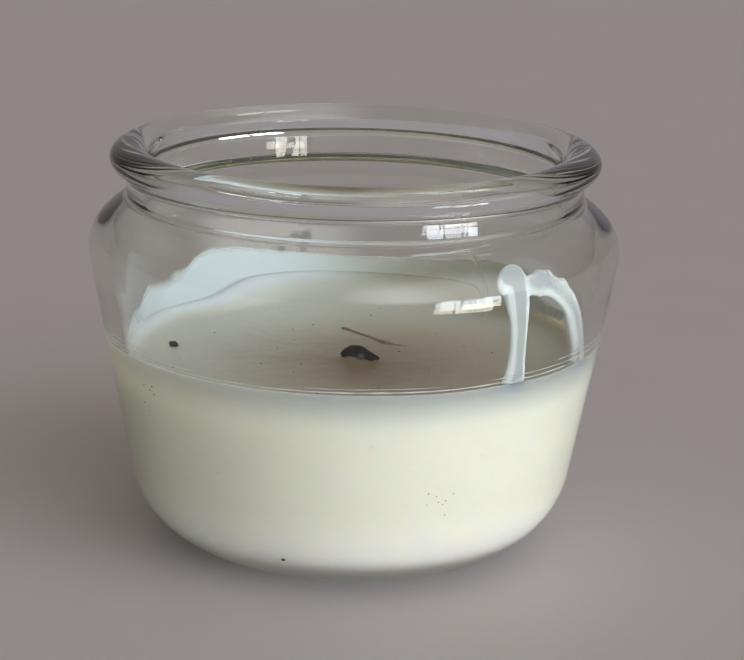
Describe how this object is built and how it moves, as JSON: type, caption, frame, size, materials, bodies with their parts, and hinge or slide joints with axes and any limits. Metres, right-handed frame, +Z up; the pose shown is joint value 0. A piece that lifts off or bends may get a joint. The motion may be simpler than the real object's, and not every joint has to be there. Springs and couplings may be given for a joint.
{
  "type": "used jar candle",
  "caption": "Wide-mouthed clear glass candle jar with a rolled rim, half full of ivory wax, with a burnt wick bent over on the pool and wax runs on the inside wall.",
  "frame": {"origin": "centre of the base, on the surface the jar stands on", "axes": "+Z up the jar's axis, -Y towards the front, where the wax run is to the right of the middle, +X to the right"},
  "size_m": [0.086, 0.086, 0.0663],
  "materials": {
    "jar_glass": "clear pressed glass, faint green tint",
    "ivory_wax": "translucent ivory wax, satin",
    "thin_wax": "thin translucent wax, bluish white",
    "wick_cotton": "braided cotton, burnt at the top",
    "tab_steel": "bright tinplate",
    "adhesive": "white adhesive foam",
    "char": "burnt carbon",
    "burnt_sliver": "scorched fibre"
  },
  "bodies": {
    "root": {"glass_jar": "jar_glass", "wax_fill": "ivory_wax", "wick": "wick_cotton", "wick_tab": "tab_steel", "wick_sticker": "adhesive", "wax_drip": "thin_wax", "wall_film": "thin_wax", "char_crumb": "char", "wick_sliver": "burnt_sliver"}
  },
  "joints": []
}
